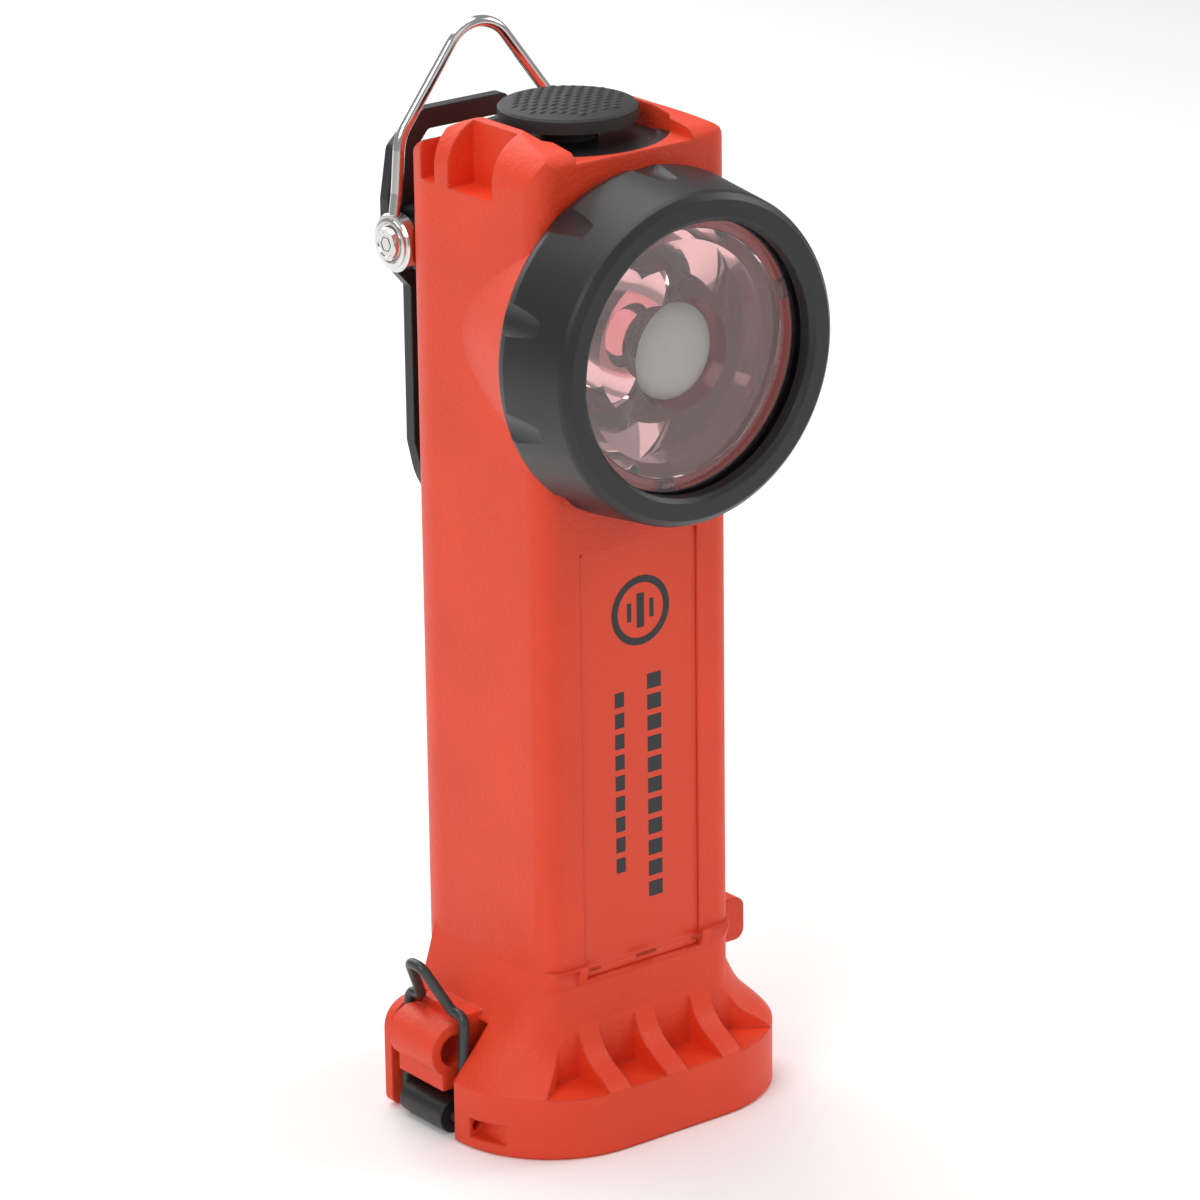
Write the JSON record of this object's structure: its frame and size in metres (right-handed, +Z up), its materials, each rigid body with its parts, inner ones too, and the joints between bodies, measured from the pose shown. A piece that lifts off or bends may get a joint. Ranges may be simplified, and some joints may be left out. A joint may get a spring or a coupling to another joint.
{
  "type": "right-angle firefighter flashlight",
  "caption": "Right-angle firefighter's light: orange body on a ribbed foot, round side-facing head, top button, back clip, hanging ring and latched tail door.",
  "frame": {"origin": "middle of the body's section on the plane of the foot's underside", "axes": "+Z up the body, -Y out of the lens, +X to the side of the tail door's hinge"},
  "size_m": [0.0668, 0.0671, 0.1885],
  "materials": {
    "shell": "moulded, fine stipple",
    "label": "smooth satin",
    "black_plastic": "satin black",
    "button_rubber": "dimpled dark grey",
    "seal_rubber": "black",
    "clear": "polished clear",
    "holder_red": "glossy red",
    "steel": "polished stainless",
    "spring_steel": "drawn wire",
    "coated_wire": "black coated wire",
    "sink": "machined",
    "board": "white solder mask",
    "emitter": "phosphor",
    "potting": "potted electronics",
    "cell": "plain sleeve",
    "contact": "plated"
  },
  "bodies": {
    "housing": {"body_shell": "shell", "front_label": "label", "bezel_ring": "black_plastic", "switch_collar": "black_plastic", "clip_bracket": "black_plastic", "switch_housing": "black_plastic", "battery_carrier": "black_plastic", "window_gasket": "seal_rubber", "window": "clear", "optic": "clear", "optic_holder": "holder_red", "pivot_pin": "steel", "bracket_screws": "steel", "hinge_pin": "steel", "board_screws": "steel", "button_spring": "spring_steel", "clip_spring": "spring_steel", "contact_springs": "spring_steel", "heat_sink": "sink", "led_board": "board", "contact_board": "board", "led_emitter": "emitter", "driver_module": "potting", "battery_cells": "cell"},
    "button": {"button_cap": "button_rubber", "button_retainer": "steel"},
    "ring": {"hang_ring": "steel", "ring_eyelets": "steel"},
    "clip_lever": {"clip": "black_plastic"},
    "door": {"tail_door": "black_plastic", "door_gasket": "seal_rubber", "door_contact": "contact", "door_springs": "spring_steel"},
    "bail": {"latch_bail": "coated_wire", "latch_bar": "black_plastic"}
  },
  "joints": [
    {"name": "button_press", "type": "slide", "parent": "housing", "child": "button", "axis": [0, 0, -1], "range_m": [0, 0.0015], "stiffness_N_per_m": 2000, "springref_m": -0.0015, "deforming": ["button_spring"]},
    {"name": "ring_swing", "type": "hinge", "parent": "housing", "child": "ring", "pos_m": [0, 0.022, 0.152], "axis": [-1, 0, 0], "range_deg": [0, 140]},
    {"name": "clip_swing", "type": "hinge", "parent": "housing", "child": "clip_lever", "pos_m": [0, 0.022, 0.152], "axis": [1, 0, 0], "range_deg": [0, 14], "stiffness_Nm_per_rad": 1.5, "springref_deg": -11.46},
    {"name": "door_swing", "type": "hinge", "parent": "housing", "child": "door", "pos_m": [0.025, 0, 0.0036], "axis": [0, -1, 0], "range_deg": [0, 105]},
    {"name": "bail_swing", "type": "hinge", "parent": "housing", "child": "bail", "pos_m": [-0.0289, 0, 0.022], "axis": [0, 1, 0], "range_deg": [0, 35]}
  ]
}
